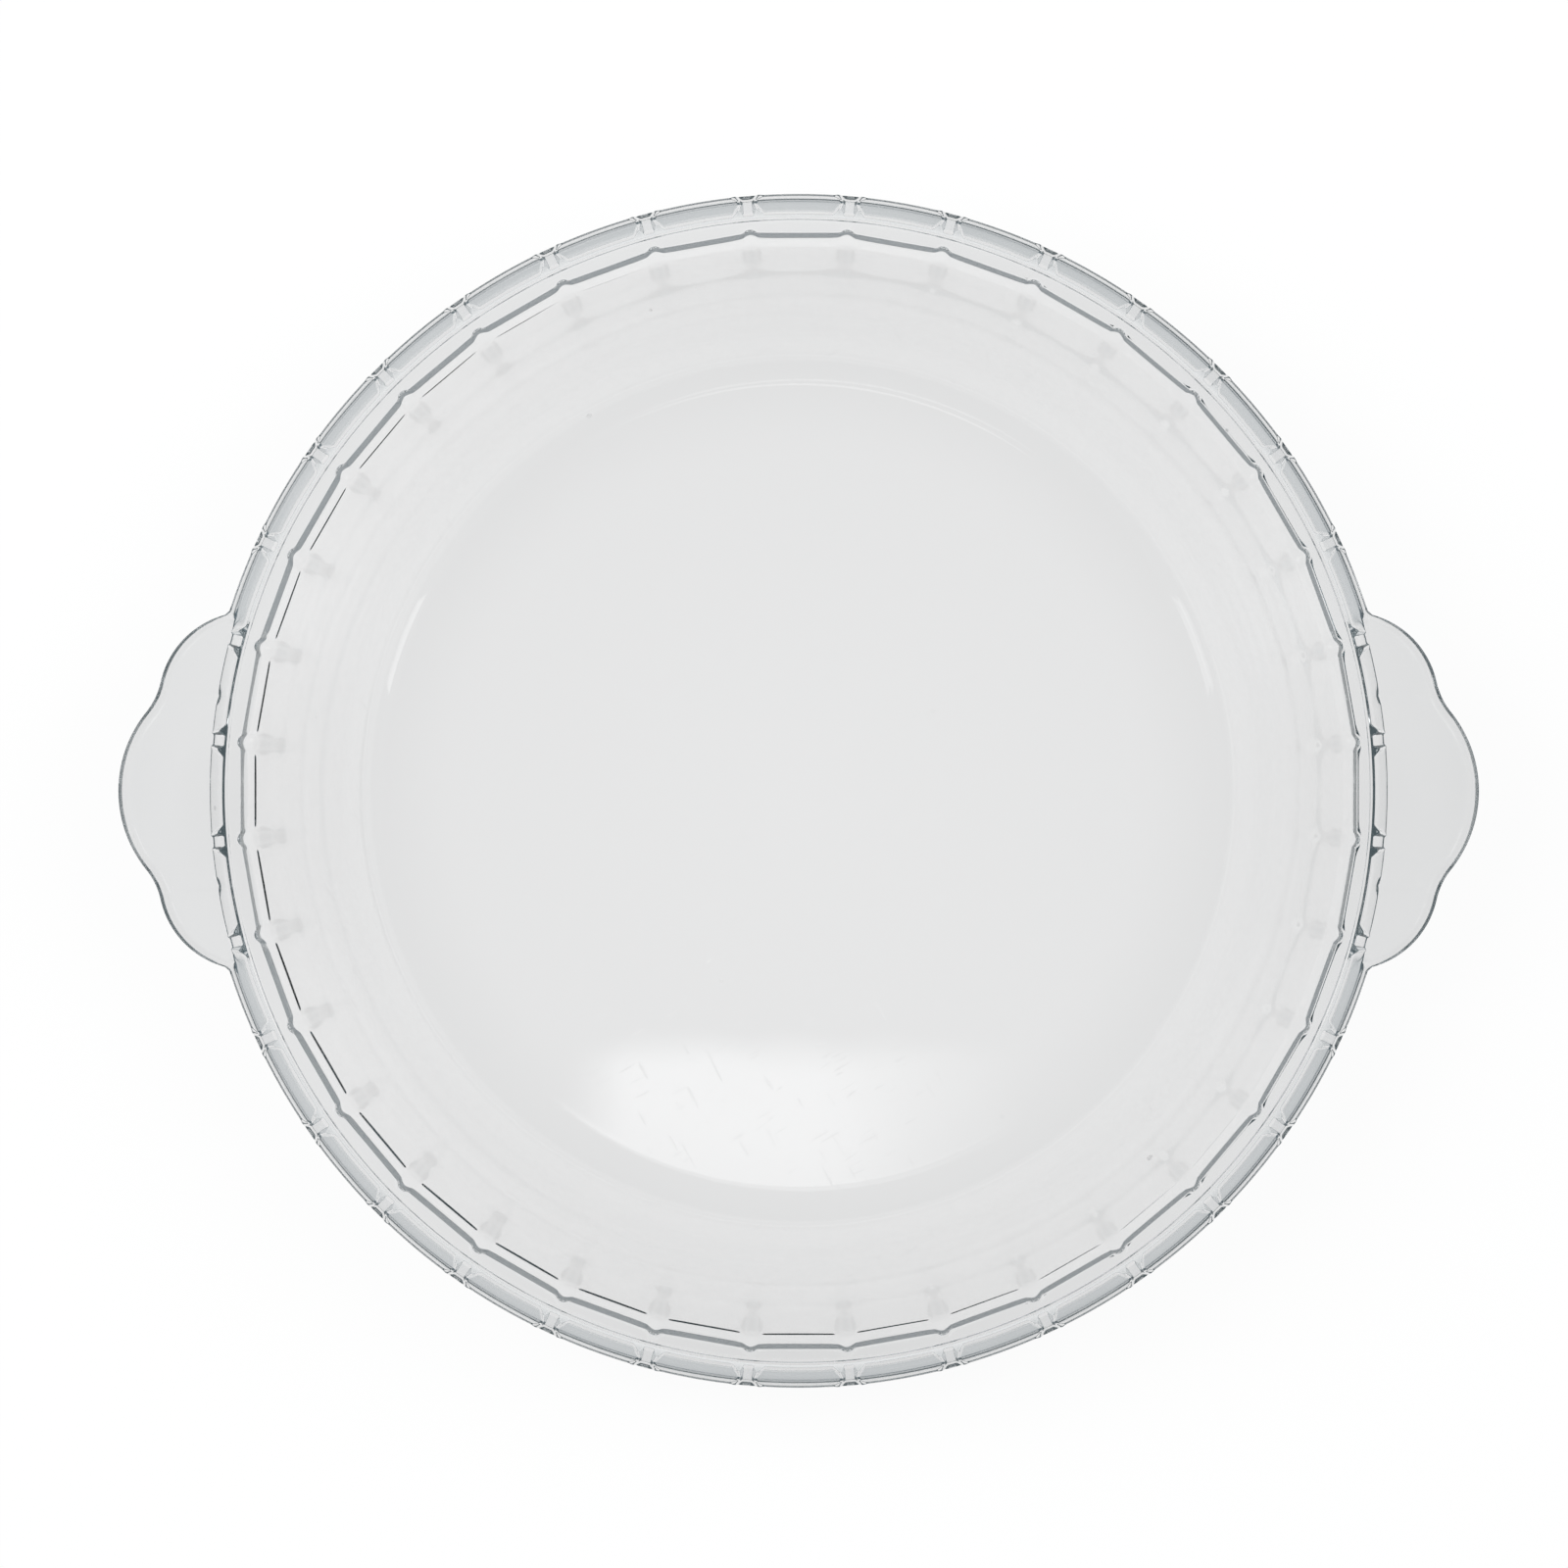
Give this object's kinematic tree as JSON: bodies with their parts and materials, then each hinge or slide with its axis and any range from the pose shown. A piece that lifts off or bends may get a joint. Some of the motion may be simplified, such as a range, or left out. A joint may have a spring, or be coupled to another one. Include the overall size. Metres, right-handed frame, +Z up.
{
  "type": "pie dish",
  "caption": "Round clear-glass pie dish with sloping walls, thumb flutes inside the mouth, a notched rim and a lobed plate handle on each side, for baking and serving pies.",
  "frame": {"origin": "centre of the dish's flat underside, on the surface that it stands on", "axes": "+X through the right handle, +Z up along the dish's axis, +Y to the back"},
  "size_m": [0.304, 0.267, 0.045],
  "materials": {
    "clear_glass": "smooth fire-polished clear pressed glass with a faint cool tint at the edges"
  },
  "bodies": {
    "root": {"dish_floor": "clear_glass", "floor_heel": "clear_glass", "side_wall": "clear_glass", "fluted_collar": "clear_glass", "rim_skirt": "clear_glass", "right_handle": "clear_glass", "left_handle": "clear_glass"}
  },
  "joints": []
}
